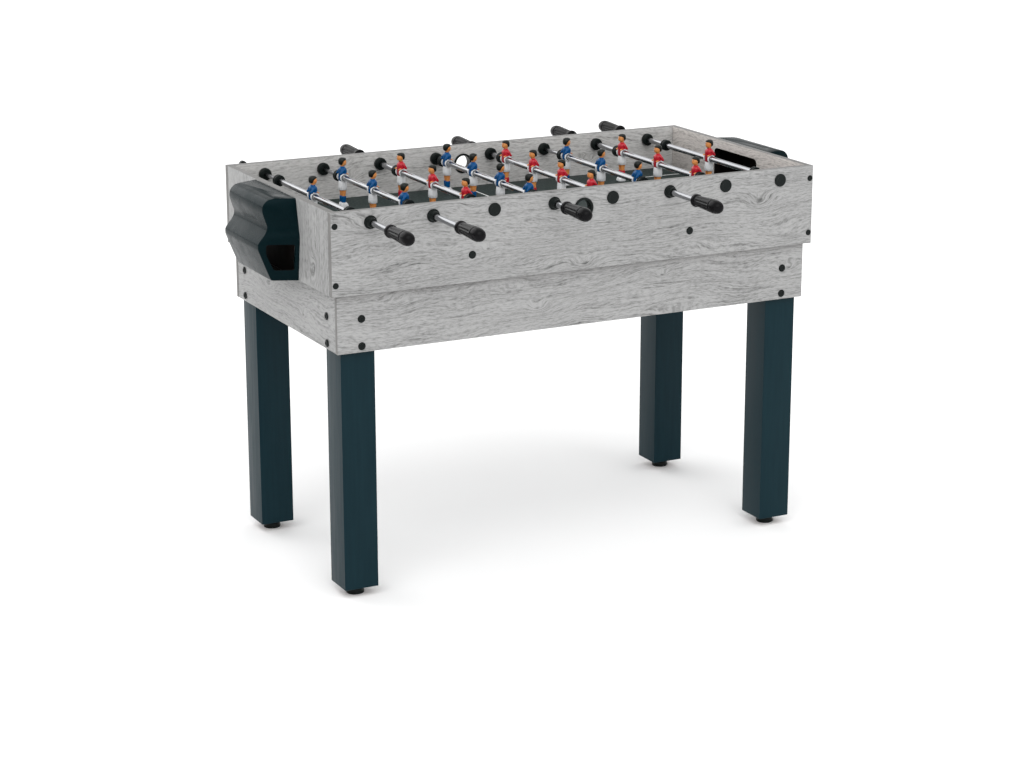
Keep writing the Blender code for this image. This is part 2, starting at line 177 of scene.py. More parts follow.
def add_rings(bm, rings, closed=False, material=0):
    """A skin over rings of points; its ends are capped, or joined when closed is true."""
    levels = [[bm.verts.new(point) for point in ring] for ring in rings]
    pairs = list(zip(levels, levels[1:])) + ([(levels[-1], levels[0])] if closed else [])
    faces = []
    for low, high in pairs:
        for i in range(len(low)):
            j = (i + 1) % len(low)
            faces.append(bm.faces.new((low[i], low[j], high[j], high[i])))
    if not closed:
        faces.append(bm.faces.new(reversed(levels[0])))
        faces.append(bm.faces.new(levels[-1]))
    for face in faces:
        face.material_index = material


def add_turned(bm, profile, sides=32, closed=True, material=0, place=Matrix(), shape=None):
    """Turns (radius, height) points about Z. An open profile starts and ends near the axis.

    shape(radius, angle, height) may change a radius, as for flutes.
    """
    def point(radius, height, i):
        angle = 2 * pi * i / sides
        if shape:
            radius = shape(radius, angle, height)
        return place @ Vector((radius * cos(angle), radius * sin(angle), height))

    rings = [[point(max(r, 0.00005), z, i) for i in range(sides)] for r, z in profile]
    add_rings(bm, rings, closed, material)


def rounded(profile, radius, segments=3, closed=True):
    """The profile with its corners rounded off."""
    points = [Vector(p) for p in profile]
    result = []
    for i, here in enumerate(points):
        if not closed and i in (0, len(points) - 1):
            result.append(tuple(here))
            continue
        before, after = points[i - 1], points[(i + 1) % len(points)]
        reach = min(radius, 0.45 * (before - here).length, 0.45 * (after - here).length)
        start = here + (before - here).normalized() * reach
        end = here + (after - here).normalized() * reach
        for k in range(segments + 1):
            t = k / segments
            result.append(tuple((1 - t) ** 2 * start + 2 * t * (1 - t) * here + t ** 2 * end))
    return result


def curved(points, steps):
    """More points along a smooth curve through the given ones."""
    points = [Vector(p) for p in points]
    padded = [2 * points[0] - points[1]] + points + [2 * points[-1] - points[-2]]
    result = []
    for a, b, c, d in zip(padded, padded[1:], padded[2:], padded[3:]):
        for k in range(steps):
            t = k / steps
            result.append(0.5 * (2 * b + (c - a) * t + (2 * a - 5 * b + 4 * c - d) * t ** 2
                                 + (3 * b - a - 3 * c + d) * t ** 3))
    return result + [points[-1]]


def paint(mesh, index, test):
    """Gives a material slot to the faces whose centre and normal pass the test."""
    for face in mesh.polygons:
        if test(face.center, face.normal):
            face.material_index = index
    return mesh


def add_piece(name, mesh, materials, body, replaces=(), place=None):
    """One visible piece: its finish, the body it rides on and the CAD nodes it stands for."""
    obj = in_scene(name, mesh)
    if not mesh.materials:
        for material in materials:
            mesh.materials.append(material)
    if place is not None:
        obj.matrix_world = place
    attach(obj, body)
    if replaces:
        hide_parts(*replaces)
    return obj


# Materials

class Nodes:
    """A short way to write a material's nodes."""

    def __init__(self, name, **sockets):
        self.material = bpy.data.materials.new(name)
        self.material.use_nodes = True
        self.tree = self.material.node_tree
        self.shader = self.tree.nodes["Principled BSDF"]
        for key, value in sockets.items():
            self.shader.inputs[key.replace("_", " ")].default_value = value
        self.place = self.add("ShaderNodeTexCoord").outputs["Object"]

    def add(self, kind, settings=None, **inputs):
        node = self.tree.nodes.new(kind)
        for key, value in (settings or {}).items():
            setattr(node, key, value)
        for key, value in inputs.items():
            self.put(node.inputs[key.replace("_", " ")], value)
        return node

    def put(self, socket, value):
        if isinstance(value, bpy.types.NodeSocket):
            self.tree.links.new(value, socket)
        else:
            socket.default_value = value

    def math(self, operation, *values):
        node = self.add("ShaderNodeMath", {"operation": operation})
        for socket, value in zip(node.inputs, values):
            self.put(socket, value)
        return node.outputs[0]

    def vector(self, operation, *values):
        node = self.add("ShaderNodeVectorMath", {"operation": operation})
        for socket, value in zip(node.inputs, values):
            self.put(socket, value)
        return node.outputs["Value" if operation in ("LENGTH", "DISTANCE") else "Vector"]

    def scaled(self, scale, shift=(0, 0, 0), vector=None):
        return self.vector("MULTIPLY_ADD", vector or self.place, scale, shift)

    def noise(self, vector, scale=1.0, detail=3.0, roughness=0.5):
        return self.add("ShaderNodeTexNoise", Vector=vector, Scale=scale, Detail=detail,
                        Roughness=roughness).outputs["Fac"]

    def ramp(self, value, low, high, start=0.0, end=1.0):
        """start to end as the value goes from low to high."""
        node = self.add("ShaderNodeMapRange", {"interpolation_type": "SMOOTHSTEP"})
        for socket, number in zip(node.inputs, (value, low, high, start, end)):
            self.put(socket, number)
        return node.outputs[0]

    def mix(self, factor, first, second):
        node = self.add("ShaderNodeMix", {"data_type": "RGBA"})
        colours = [s for s in node.inputs if s.type == "RGBA"]
        self.put(node.inputs[0], factor)
        for socket, value in zip(colours, (first, second)):
            self.put(socket, (*value, 1.0) if isinstance(value, tuple) else value)
        return [s for s in node.outputs if s.type == "RGBA"][0]

    def bump(self, height, strength, distance):
        node = self.add("ShaderNodeBump", Strength=strength, Distance=distance, Height=height)
        self.put(self.shader.inputs["Normal"], node.outputs["Normal"])

    def colour(self, value):
        self.put(self.shader.inputs["Base Color"], value)

    def roughness(self, value):
        self.put(self.shader.inputs["Roughness"], value)


def oak(name, grain, seed, knots=(), light=(0.350, 0.350, 0.348), dark=(0.062, 0.063, 0.061)):
    """Grey oak paper on board. grain is the axis that the grain runs along.

    knots are (along, across, size) on the board's face, in metres.
    """
    m = Nodes(name, Roughness=0.5, Specular_IOR_Level=0.25)
    split = m.add("ShaderNodeSeparateXYZ", Vector=m.place)
    x, y, z = split.outputs
    along, across, deep = {"X": (x, z, y), "Z": (z, y, x), "Y": (y, z, x)}[grain]
    flow = m.add("ShaderNodeCombineXYZ", X=along, Y=across, Z=deep).outputs[0]
    shift = (seed * 3.17, seed * 1.31, seed * 0.73)

    def noise(scale, vector, detail=3.0, roughness=0.5):
        return m.noise(m.scaled(scale, shift, vector), detail=detail, roughness=roughness)

    # Slow bends of the grain, which parts round the knots
    bend = noise((2.4, 7.0, 7.0), flow, 2.0)
    wander = noise((11.0, 30.0, 30.0), flow)
    lift = m.math("ADD", m.math("MULTIPLY", bend, 0.12), m.math("MULTIPLY", wander, 0.016))
    knot_dark = around = None
    for knot_along, knot_across, size in knots:
        offset = m.scaled((1.0, 1.8, 0.0), (-knot_along, -1.8 * knot_across, 0.0), flow)
        reach = m.vector("LENGTH", offset)
        swell = m.math("POWER", 2.718, m.math("MULTIPLY", m.math("MULTIPLY", reach, reach),
                                              -1.0 / (3.0 * size) ** 2))
        lift = m.math("ADD", lift, m.math("MULTIPLY", swell, 2.2 * size))
        around = swell if around is None else m.math("MAXIMUM", around, swell)
        core = m.ramp(m.math("ADD", reach, m.math("MULTIPLY", wander, size)), size * 0.7,
                      size * 1.5, 1.0, 0.0)
        knot_dark = core if knot_dark is None else m.math("MAXIMUM", knot_dark, core)
    height = m.math("ADD", across, lift)
    run = m.add("ShaderNodeCombineXYZ", X=along, Y=height, Z=deep).outputs[0]

    # Year rings, broken along the grain
    ring = m.math("ABSOLUTE", m.math("SINE", m.math("MULTIPLY", height, 420.0)))
    broken = m.ramp(noise((16.0, 70.0, 70.0), flow, 4.0, 0.6), 0.45, 0.62)
    rings = m.math("MULTIPLY", m.ramp(ring, 0.0, 0.5, 1.0, 0.0), broken)
    if around is not None:
        rings = m.math("MULTIPLY", rings, m.ramp(around, 0.0, 0.6, 0.75, 2.2))
    # Cracks, streaks and pores, from long and rare to short and fine
    cracks = m.ramp(noise((5.5, 140.0, 140.0), run, 5.0, 0.7), 0.56, 0.68)
    streaks = m.ramp(noise((10.0, 210.0, 210.0), run, 6.0, 0.72), 0.40, 0.66)
    flecks = m.ramp(noise((70.0, 360.0, 360.0), run, 4.0, 0.65), 0.42, 0.64)
    pores = m.ramp(noise((60.0, 900.0, 900.0), run, 3.0, 0.6), 0.45, 0.70)
    clouds = m.ramp(noise((3.5, 11.0, 11.0), flow), 0.30, 0.72)

    tone = m.math("MULTIPLY", streaks, 0.32)
    for part, weight in ((rings, 0.22), (cracks, 0.36), (flecks, 0.34), (pores, 0.16),
                         (clouds, 0.10)):
        tone = m.math("ADD", tone, m.math("MULTIPLY", part, weight))
    if knot_dark is not None:
        tone = m.math("ADD", tone, m.math("MULTIPLY", knot_dark, 0.45))
    tone = m.ramp(tone, -0.05, 1.25)
    m.colour(m.mix(tone, light, dark))
    m.roughness(m.ramp(pores, 0.0, 1.0, 0.46, 0.60))
    m.bump(m.math("MULTIPLY", m.math("ADD", cracks, pores), -1.0), 0.30, 0.0004)
    return m.material


def raw_edge(name):
    """The sawn, reddish edge of the board, with its pressed fibres."""
    m = Nodes(name, Roughness=0.8, Specular_IOR_Level=0.2)
    fibre = m.noise(m.scaled((700.0, 700.0, 1100.0)), detail=3.0)
    m.colour(m.mix(fibre, (0.060, 0.036, 0.030), (0.130, 0.080, 0.064)))
    m.bump(fibre, 0.4, 0.0003)
    return m.material


def edge_band(name):
    """Darker grey band glued along a board's edge."""
    m = Nodes(name, Roughness=0.45, Specular_IOR_Level=0.3)
    streak = m.noise(m.scaled((26.0, 26.0, 26.0)), detail=4.0)
    fine = m.noise(m.scaled((260.0, 260.0, 260.0)), detail=2.0)
    tone = m.math("ADD", m.math("MULTIPLY", streak, 0.7), m.math("MULTIPLY", fine, 0.3))
    m.colour(m.mix(tone, (0.085, 0.083, 0.080), (0.21, 0.206, 0.200)))
    m.bump(fine, 0.15, 0.0002)
    return m.material


def board_dark(name, first, second, roughness, grain=(60.0, 60.0, 4.0), specular=0.14):
    """Dark foil with a faint pressed grain."""
    m = Nodes(name, Roughness=roughness, Specular_IOR_Level=specular)
    streak = m.noise(m.scaled(grain), scale=2.0, detail=5.0, roughness=0.6)
    cloud = m.noise(m.scaled((5.0, 5.0, 2.0)), detail=2.0)
    tone = m.math("ADD", m.math("MULTIPLY", streak, 0.6), m.math("MULTIPLY", cloud, 0.4))
    m.colour(m.mix(m.ramp(tone, 0.3, 0.7), first, second))
    m.roughness(m.ramp(streak, 0.3, 0.7, roughness - 0.05, roughness + 0.08))
    m.bump(streak, 0.12, 0.0003)
    return m.material


def moulded(name, first, second, roughness, specular=0.4, texture=900.0, depth=0.12, **more):
    """Moulded plastic or rubber: a fine matt texture and slightly uneven gloss."""
    m = Nodes(name, Roughness=roughness, Specular_IOR_Level=specular, **more)
    cloud = m.noise(m.scaled((30.0, 30.0, 30.0)), detail=3.0)
    fine = m.noise(m.scaled((texture, texture, texture)), detail=2.0)
    m.colour(m.mix(cloud, first, second))
    m.roughness(m.ramp(cloud, 0.3, 0.7, roughness - 0.05, roughness + 0.07))
    m.bump(fine, depth, 0.0002)
    return m.material


def chrome(name, roughness):
    """Plated steel with fine marks along and around it."""
    m = Nodes(name, Metallic=1.0, Roughness=roughness)
    along = m.noise(m.scaled((900.0, 900.0, 14.0)), detail=3.0)
    cloud = m.noise(m.scaled((40.0, 40.0, 9.0)), detail=3.0)
    m.colour(m.mix(cloud, (0.27, 0.275, 0.29), (0.36, 0.365, 0.38)))
    m.roughness(m.ramp(along, 0.3, 0.7, roughness - 0.04, roughness + 0.10))
    m.bump(along, 0.05, 0.0001)
    return m.material


OAK = {
    "near": oak("oak_near", "X", 1.0, ((0.450, 0.787, 0.012), (-0.500, 0.822, 0.013),
                                       (0.005, 0.690, 0.011), (-0.230, 0.745, 0.006))),
    "far": oak("oak_far", "X", 2.0, ((-0.300, 0.790, 0.010), (0.330, 0.735, 0.009))),
    "left": oak("oak_left", "Z", 3.0, ((0.720, -0.215, 0.010),)),
    "right": oak("oak_right", "Z", 4.0, ((0.800, 0.110, 0.008),)),
    "apron_near": oak("oak_apron_near", "X", 5.0, ((0.537, 0.622, 0.009), (-0.105, 0.600, 0.008),
                                                   (0.205, 0.640, 0.006))),
    "apron_far": oak("oak_apron_far", "X", 6.0, ((-0.255, 0.610, 0.010),)),
    "apron_left": oak("oak_apron_left", "Y", 7.0, ((0.094, 0.6245, 0.014), (-0.108, 0.596, 0.007))),
    "apron_right": oak("oak_apron_right", "Y", 8.0, ((0.120, 0.600, 0.010),)),
}
# Paler copies of the oak for the walls' inner faces: painted light, which brightens the inside of
# the cabinet where less light falls
OAK_INSIDE_PAINTED_LIGHT = {
    "long": oak("oak_inside_long_painted_light", "X", 9.0, ((-0.300, 0.800, 0.010), (0.330, 0.790, 0.009)),
                (0.54, 0.535, 0.525), (0.12, 0.117, 0.11)),
    "short": oak("oak_inside_short_painted_light", "Y", 10.0, ((0.180, 0.800, 0.008),),
                 (0.66, 0.62, 0.59), (0.18, 0.165, 0.155)),
}
RAW = raw_edge("board_edge")
BAND = edge_band("edge_band")
FIELD = board_dark("field_foil", (0.011, 0.021, 0.020), (0.018, 0.031, 0.029), 0.45,
                   (90.0, 90.0, 90.0), 0.08)
FIELD_LINE = moulded("field_line", (0.62, 0.64, 0.63), (0.74, 0.75, 0.74), 0.5, 0.3)
LEG_FOIL = board_dark("leg_foil", (0.0020, 0.0150, 0.0215), (0.0035, 0.0195, 0.0265), 0.34,
                      specular=0.11)
RETURN = moulded("return_plastic", (0.0006, 0.0050, 0.0062), (0.0014, 0.0075, 0.0090), 0.25,
                 0.055, 1400.0, 0.08, Specular_Tint=(0.60, 0.86, 1.0, 1.0))
# Matt, dark reddish copy of the return plastic for the inside of the boxes and the goal mouths:
# painted shade for their dim insides
RETURN_INSIDE_PAINTED_SHADE = moulded("return_inside_painted_shade", (0.0040, 0.0045, 0.0045), (0.0110, 0.0070, 0.0060),
                        0.75, 0.05)
BLACK = moulded("black_plastic", (0.004, 0.006, 0.006), (0.007, 0.010, 0.009), 0.30, 0.12)
GRIP = moulded("grip_plastic", (0.003, 0.003, 0.003), (0.005, 0.005, 0.006), 0.20, 0.08)
RUBBER = moulded("bumper_rubber", (0.004, 0.007, 0.007), (0.008, 0.011, 0.011), 0.45, 0.11)
CHROME = chrome("rod_chrome", 0.15)
STEEL = chrome("screw_steel", 0.3)
BLUE = moulded("shirt_blue", (0.0, 0.050, 0.165), (0.0, 0.074, 0.225), 0.26, 0.18)
RED = moulded("shirt_red", (0.36, 0.006, 0.016), (0.46, 0.012, 0.026), 0.26, 0.36)
WHITE = moulded("kit_white", (0.66, 0.67, 0.69), (0.76, 0.77, 0.78), 0.35, 0.5)
SKIN = moulded("figure_skin", (0.62, 0.225, 0.060), (0.70, 0.280, 0.085), 0.38, 0.45,
               Subsurface_Weight=0.08)
HAIR = moulded("figure_hair", (0.004, 0.006, 0.005), (0.010, 0.012, 0.010), 0.38, 0.22)
DARK = moulded("figure_eye", (0.012, 0.010, 0.010), (0.020, 0.016, 0.014), 0.3, 0.5)


# Cabinet

def side_wall(side):
    """A long wall, drilled for the bearings and for the serve hole."""
    sign = SIDES[side]
    low, high = sorted((sign * INNER_Y, sign * HALF_Y))

    def holes(bm):
        for hinge in HINGES:
            x = hinge["pos_m"][0]
            add_cylinder(bm, "Y", x, ROD_Z, low - PAST, high + PAST, BEARING_HOLE)
        add_cylinder(bm, "Y", 0, SERVE_Z, low - PAST, high + PAST, SERVE_HOLE, sides=48)

    def sawn(centre, normal):
        """The underside, and the inside of the holes."""
        return normal.z < -0.9 or (
            abs(normal.y) < 0.5 and low + INSET < centre.y < high - INSET
            and WALLS_Z + INSET < centre.z < RIM_Z - INSET and abs(centre.x) < HALF_X - INSET)

    mesh = mesh_from(lambda bm: add_box(bm, (-HALF_X, low, WALLS_Z), (HALF_X, high, RIM_Z),
                                        bevel=0.0011, segments=3))
    mesh = combined(mesh, "DIFFERENCE", holes)
    paint(mesh, 1, lambda c, n: n.z > 0.9 or abs(n.x) > 0.9)
    paint(mesh, 2, sawn)
    # The inner face gets the paler oak, which is painted light
    paint(mesh, 3, lambda c, n: n.y * sign < -0.9)
    add_piece(f"wall_{side}", smooth(mesh), [OAK[side], BAND, RAW, OAK_INSIDE_PAINTED_LIGHT["long"]],
              "cabinet", [f"side_panel_{side}"])


def end_wall(end):
    """A short wall with the goal mouth, and a dark sheet behind the ball return: painted shade
    inside the box.
    """
    sign = ENDS[end]
    low, high = sorted((sign * INNER_X, sign * HALF_X))
    half = INNER_Y - GAP

    def mouth(bm):
        corner = [(GOAL_HALF - GOAL_CORNER * (1 - cos(a)), GOAL_TOP - GOAL_CORNER * (1 - sin(a)))
                  for a in (k * pi / 10 for k in range(6))]
        outline = [(-GOAL_HALF, FIELD_Z + GAP), (GOAL_HALF, FIELD_Z + GAP)] + corner
        outline += [(-y, z) for y, z in reversed(corner)]
        add_rings(bm, [[(x, y, z) for y, z in outline]
                       for x in (low - 2 * PAST, high + 2 * PAST)])

    mesh = mesh_from(lambda bm: add_box(bm, (low, -half, WALLS_Z), (high, half, RIM_Z),
                                        bevel=0.0009, segments=2))
    mesh = combined(mesh, "DIFFERENCE", mouth)
    # A dark sheet on the wall's face within the ball return, with the goal mouth cut out: painted
    # shade for the inside of the box
    edge = [(return_half_width(z) - RETURN_WALL - SHADE_SHEET_CLEARANCE, z) for z in SHADE_SHEET_HEIGHTS]
    edge += [(-y, z) for y, z in reversed(edge)]
    shade_sheet = mesh_from(lambda bm: add_rings(bm, [
        [(sign * (HALF_X + x), y, z) for y, z in edge] for x in (GAP, SHADE_SHEET_FACE)]))
    add_piece(f"return_shade_sheet_{end}", smooth(combined(shade_sheet, "DIFFERENCE", mouth)), [RETURN_INSIDE_PAINTED_SHADE],
              "cabinet", [f"ball_return_{end}"])
    paint(mesh, 1, lambda c, n: n.z > 0.9 and c.z > RIM_Z - INSET)
    # The goal mouth's edges get the matt dark plastic, whose darkness is painted shade
    paint(mesh, 2, lambda c, n: abs(n.x) < 0.3 and abs(c.y) < GOAL_HALF + INSET
          and FIELD_Z - 0.001 < c.z < GOAL_TOP + 0.001)
    # The inner face gets the paler oak, which is painted light
    paint(mesh, 3, lambda c, n: n.x * sign < -0.9)
    add_piece(f"wall_{end}", smooth(mesh), [OAK[end], BAND, RETURN_INSIDE_PAINTED_SHADE, OAK_INSIDE_PAINTED_LIGHT["short"]],
              "cabinet", [f"end_panel_{end}"])


def turned_piece(name, profile, material, place, body, replaces=(), sides=40, corner=0.0006,
                 closed=True):
    """A turned piece with rounded corners; an open profile starts and ends on the axis."""
    shape = rounded(profile, corner, closed=closed) if corner else profile
    mesh = mesh_from(lambda bm: add_turned(bm, shape, sides=sides, closed=closed))
    return add_piece(name, smooth(mesh), [material], body, replaces, place)


def bearing(number, x, side, handle_side):
    """Flanged bearing through a long wall, measured out from the wall's inner face."""
    sign = SIDES[side]
    r, body, inside, face = BEARING_RADIUS, 0.0100, -BEARING_INSIDE, WALL + FLANGE
    shell = [(r - 0.0020, inside), (r, inside + 0.0030), (r, -GAP), (body, -GAP),
             (body, WALL + GAP), (r, WALL + GAP)]
    disc = [(r, face - 0.0010), (r - 0.0012, face)]
    if handle_side == sign:
        # open, with a neck round the tube
        bore = 0.0070
        outline = [(bore, inside)] + shell + [
            (r, face - 0.0008), (r - 0.0010, face), (0.0122, face), (0.0112, face + 0.003),
            (0.0098, face + NECK), (bore, face + NECK)]
    elif number == 1:
        # open, because the first inner rod comes out here
        outline = [(CORE_BORE, inside)] + shell + disc + [(CORE_BORE, face)]
    else:
        # closed by a disc with a shallow dish
        outline = [(0.0, WALL + 0.0012), (CORE_BORE, WALL + 0.0012), (CORE_BORE, inside)]
        outline += shell + disc + [(r * 0.62, face), (r * 0.58, face - 0.0006),
                                   (0.0, face - 0.0006)]
    place = pointing_y(x, sign * INNER_Y, ROD_Z, sign)
    turned_piece(f"bearing_{number}_{side}", outline, BLACK, place, "cabinet",
                 closed=handle_side == sign or number == 1, corner=0.0005)


def screw_cap(name, place, radius):
    """A pressed-in screw cap with a small dimple."""
    height = 0.0016
    outline = [(0.0, 0.0), (radius, 0.0), (radius, height * 0.45), (radius * 0.80, height * 0.9),
               (radius * 0.40, height), (radius * 0.30, height * 0.55), (0.0, height * 0.5)]
    turned_piece(name, outline, BLACK, place, "cabinet", closed=False,
                 corner=0.0002, sides=24)


def wall_screws():
    for side, sign in SIDES.items():
        for i, (x, z, radius) in enumerate(WALL_SCREWS, 1):
            for end, x_sign in ENDS.items():
                place = pointing_y(x_sign * x, sign * (HALF_Y + GAP / 2), z, sign)
                screw_cap(f"screw_{side}_{end}_{i}", place, radius)


def playfield():
    """The board, and its lines as thin raised strips."""
    mesh = mesh_from(lambda bm: add_box(bm, FIELD_LOW, FIELD_HIGH, bevel=0.0006))
    add_piece("field", smooth(mesh), [FIELD], "cabinet", ["playfield"])

    half_x, half_y = FIELD_HIGH.x, FIELD_HIGH.y - 0.004
    line, low, high = 0.0035, FIELD_Z + 0.00005, FIELD_Z + 0.00030

    def strip(bm, x0, y0, x1, y1):
        add_box(bm, (min(x0, x1) - line / 2, min(y0, y1) - line / 2, low),
                (max(x0, x1) + line / 2, max(y0, y1) + line / 2, high))

    def arc(bm, x, y, radius, start, end, steps):
        rings = []
        for i in range(steps + 1):
            a = start + (end - start) * i / steps
            inner, outer = radius - line / 2, radius + line / 2
            rings.append([(x + r * cos(a), y + r * sin(a), z) for r, z in
                          ((inner, low), (outer, low), (outer, high), (inner, high))])
        full = abs(end - start) > 2 * pi - 0.001
        add_rings(bm, rings[:-1] if full else rings, closed=full)

    def lines(bm):
        strip(bm, 0.0, -half_y, 0.0, half_y)
        arc(bm, 0, 0, CENTRE_CIRCLE, 0, 2 * pi, 64)
        for sign in (-1, 1):
            for depth, half in BOXES:
                x = sign * (half_x - depth)
                strip(bm, x, -half, x, half)
                for y in (-half, half):
                    strip(bm, sign * (half_x - line), y, x - sign * line, y)
            first = pi / 2 + sign * ARC_TRIM
            last = 3 * pi / 2 - ARC_TRIM if sign > 0 else ARC_TRIM - pi / 2
            arc(bm, sign * (half_x - ARC_DEPTH), 0, ARC_RADIUS, first, last, 24)

    add_piece("field_lines", smooth(mesh_from(lines)), [FIELD_LINE], "cabinet")


def apron_board(name, low, high, axis, across, end_grain=None):
    """A board drilled along an axis for four bolts; its underside shows the sawn edge."""
    start, end = (low[0], high[0]) if axis == "X" else (low[1], high[1])

    def bolts(bm):
        for place in (-across, across):
            for z in BOLT_HEIGHTS:
                add_cylinder(bm, axis, place, z, start - PAST, end + PAST, BOLT_HOLE, 16)

    mesh = mesh_from(lambda bm: add_box(bm, low, high, bevel=0.0009, segments=2))
    mesh = combined(mesh, "DIFFERENCE", bolts)
    paint(mesh, 1, lambda c, n: n.z < -0.9)
    if end_grain:
        paint(mesh, 2, end_grain)
    add_piece(f"apron_{name}", smooth(mesh), [OAK[f"apron_{name}"], RAW, BAND], "cabinet",
              ["apron_frame"])


def apron():
    """Four boards in a rectangle; the long boards cover the ends of the short ones."""
    b, top, bottom = APRON_BOARD, APRON_HIGH.z, APRON_LOW.z
    x, y = APRON_HIGH.x, APRON_HIGH.y
    for side, sign in SIDES.items():
        low, high = sorted((sign * (y - b), sign * y))
        apron_board(side, (-x, low, bottom), (x, high, top), "Y", BOLT_X,
                    lambda c, n: abs(n.x) > 0.5 and abs(c.x) > x - 0.001)
    for end, sign in ENDS.items():
        low, high = sorted((sign * (x - b), sign * (x - 0.0006)))
        inner_y = y - b - GAP
        apron_board(end, (low, -inner_y, bottom), (high, inner_y, top), "X", BOLT_Y)


def levelling_foot(name, place):
    """A pad, a threaded stem and a hexagonal nut under a leg."""
    pad = [(0.0, 0.0), (0.0192, 0.0), (0.0200, 0.0016), (0.0200, 0.0050), (0.0186, 0.0066),
           (0.0182, 0.0105), (0.0165, 0.0120), (0.0095, 0.0124), (0.0, 0.0124)]
    turned_piece(f"foot_{name}", pad, BLACK, place, "cabinet", closed=False)
    thread = [(0.0, 0.0118)]
    for i in range(6):
        z = 0.0120 + i * 0.0014
        thread += [(0.0060, z), (0.0052, z + 0.0007)]
    thread += [(0.0052, 0.0210), (0.0, 0.0210)]
    turned_piece(f"foot_stem_{name}", thread, STEEL, place, "cabinet",
                 closed=False, corner=0, sides=24)
    low, high, radius = 0.0150, LEG_BOTTOM - GAP, 0.0105
    nut = [(0.0, low), (radius, low), (radius, high), (0.0, high)]
    turned_piece(f"foot_nut_{name}", nut, STEEL, place, "cabinet",
                 closed=False, corner=0.0004, sides=6)


def bolt_caps(name, x_sign, y_sign):
    """The caps of a leg's four bolts, on the outside of the apron."""
    cap = [(0.0, 0.0), (0.0085, 0.0), (0.0085, 0.0009), (0.0072, 0.0021), (0.0048, 0.0028),
           (0.0040, 0.0028), (0.0034, 0.0014), (0.0, 0.0014)]
    for i, z in enumerate(BOLT_HEIGHTS, 1):
        along_y = pointing_y(x_sign * BOLT_X, y_sign * (APRON_HIGH.y + GAP), z, y_sign)
        along_x = pointing_x(x_sign * (APRON_HIGH.x + GAP), y_sign * BOLT_Y, z, x_sign)
        for tag, place in (("side", along_y), ("end", along_x)):
            turned_piece(f"bolt_{name}_{tag}_{i}", cap, BLACK, place, "cabinet",
                         closed=False, corner=0.0004, sides=32)


def leg(side, end):
    """A square leg, its levelling foot and the caps of its four bolts."""
    y_sign, x_sign = SIDES[side], ENDS[end]
    name = f"{side}_{end}"
    cx, cy, half = x_sign * LEG_X, y_sign * LEG_Y, LEG_HALF
    mesh = mesh_from(lambda bm: add_box(
        bm, (cx - half, cy - half, LEG_BOTTOM), (cx + half, cy + half, APRON_HIGH.z),
        bevel=0.0016, segments=3))
    paint(mesh, 1, lambda c, n: abs(n.z) > 0.9)
    add_piece(f"leg_post_{name}", smooth(mesh), [LEG_FOIL, RAW], "cabinet",
              [f"leg_{name}"])
    levelling_foot(name, Matrix.Translation((cx, cy, 0)))
    bolt_caps(name, x_sign, y_sign)


# Ball returns and serve rings

# Outline of a box seen from the side: depth out from the wall, height
RETURN_OUTLINE = (
    (0.052, 0.6760), (0.056, 0.6820), (0.077, 0.7340), (0.0812, 0.7480), (0.0790, 0.7590),
    (0.064, 0.7780), (0.0592, 0.7915), (0.0640, 0.8080), (0.0688, 0.8260), (0.0664, 0.8400),
    (0.0565, 0.8498), (0.0440, 0.8530),
)
RETURN_BOTTOM, RETURN_TOP = RETURN_OUTLINE[0][1], RETURN_OUTLINE[-1][1]
RETURN_DEPTH = max(depth for depth, height in RETURN_OUTLINE)
RETURN_WALL, RETURN_FRONT, RETURN_MIDDLE = 0.003, 0.101, 0.770
# Half width at the wall, widest at one height and less above and below it
WIDEST_AT, WIDEST, NARROWER_ABOVE, NARROWER_BELOW = 0.772, 0.1367, 0.0187, 0.0128
# The dark sheet on the wall inside each ball return, which is painted shade: its heights, its
# clearance from the box's sides, and how far its face stands from the wall
SHADE_SHEET_HEIGHTS, SHADE_SHEET_CLEARANCE, SHADE_SHEET_FACE = (0.6802, 0.7720, 0.8488), 0.0010, 0.0018
# Groove along the top: nearest and farthest from the wall, from one end to the other, depth
GROOVE_X, GROOVE_Y, GROOVE_DEPTH = (0.0285, 0.0300), (-0.064, 0.016), 0.0012
# Opening in each side: depth out from the wall, height
OUTLET = ((0.008, 0.699), (0.050, 0.699), (0.066, 0.736), (0.066, 0.756), (0.008, 0.756))


def return_half_width(height):
    """Half width of a ball-return box at the wall: widest below its middle."""
    if height > WIDEST_AT:
        return WIDEST - NARROWER_ABOVE * (height - WIDEST_AT) / (RETURN_TOP - WIDEST_AT)
    return WIDEST - NARROWER_BELOW * (WIDEST_AT - height) / (WIDEST_AT - RETURN_BOTTOM)


def add_return_body(bm, sign, shrink, back):
    """Level sections of the box, each narrowing to a front with rounded corners."""
    rings = []
    for depth, height in curved(RETURN_OUTLINE, 5):
        depth = min(depth, RETURN_DEPTH)
        height = min(max(height, RETURN_BOTTOM + shrink), RETURN_TOP - shrink)
        wide = return_half_width(height) - shrink
        front = RETURN_FRONT - shrink
        deep = depth - shrink
        corners = [(back, -wide), (deep, -front), (deep, front), (back, wide)]
        ring = rounded(corners, 0.0035, 4, closed=False)
        rings.append([(sign * (HALF_X + x), y, height) for x, y in ring])
    add_rings(bm, rings)


def faces_inwards(sign):
    """A test for the faces on the inside of a ball-return box."""
    middle = Vector((sign * HALF_X, 0.0, RETURN_MIDDLE))

    def test(centre, normal):
        return (middle - centre).dot(normal) > 0.02 * (middle - centre).length

    return test


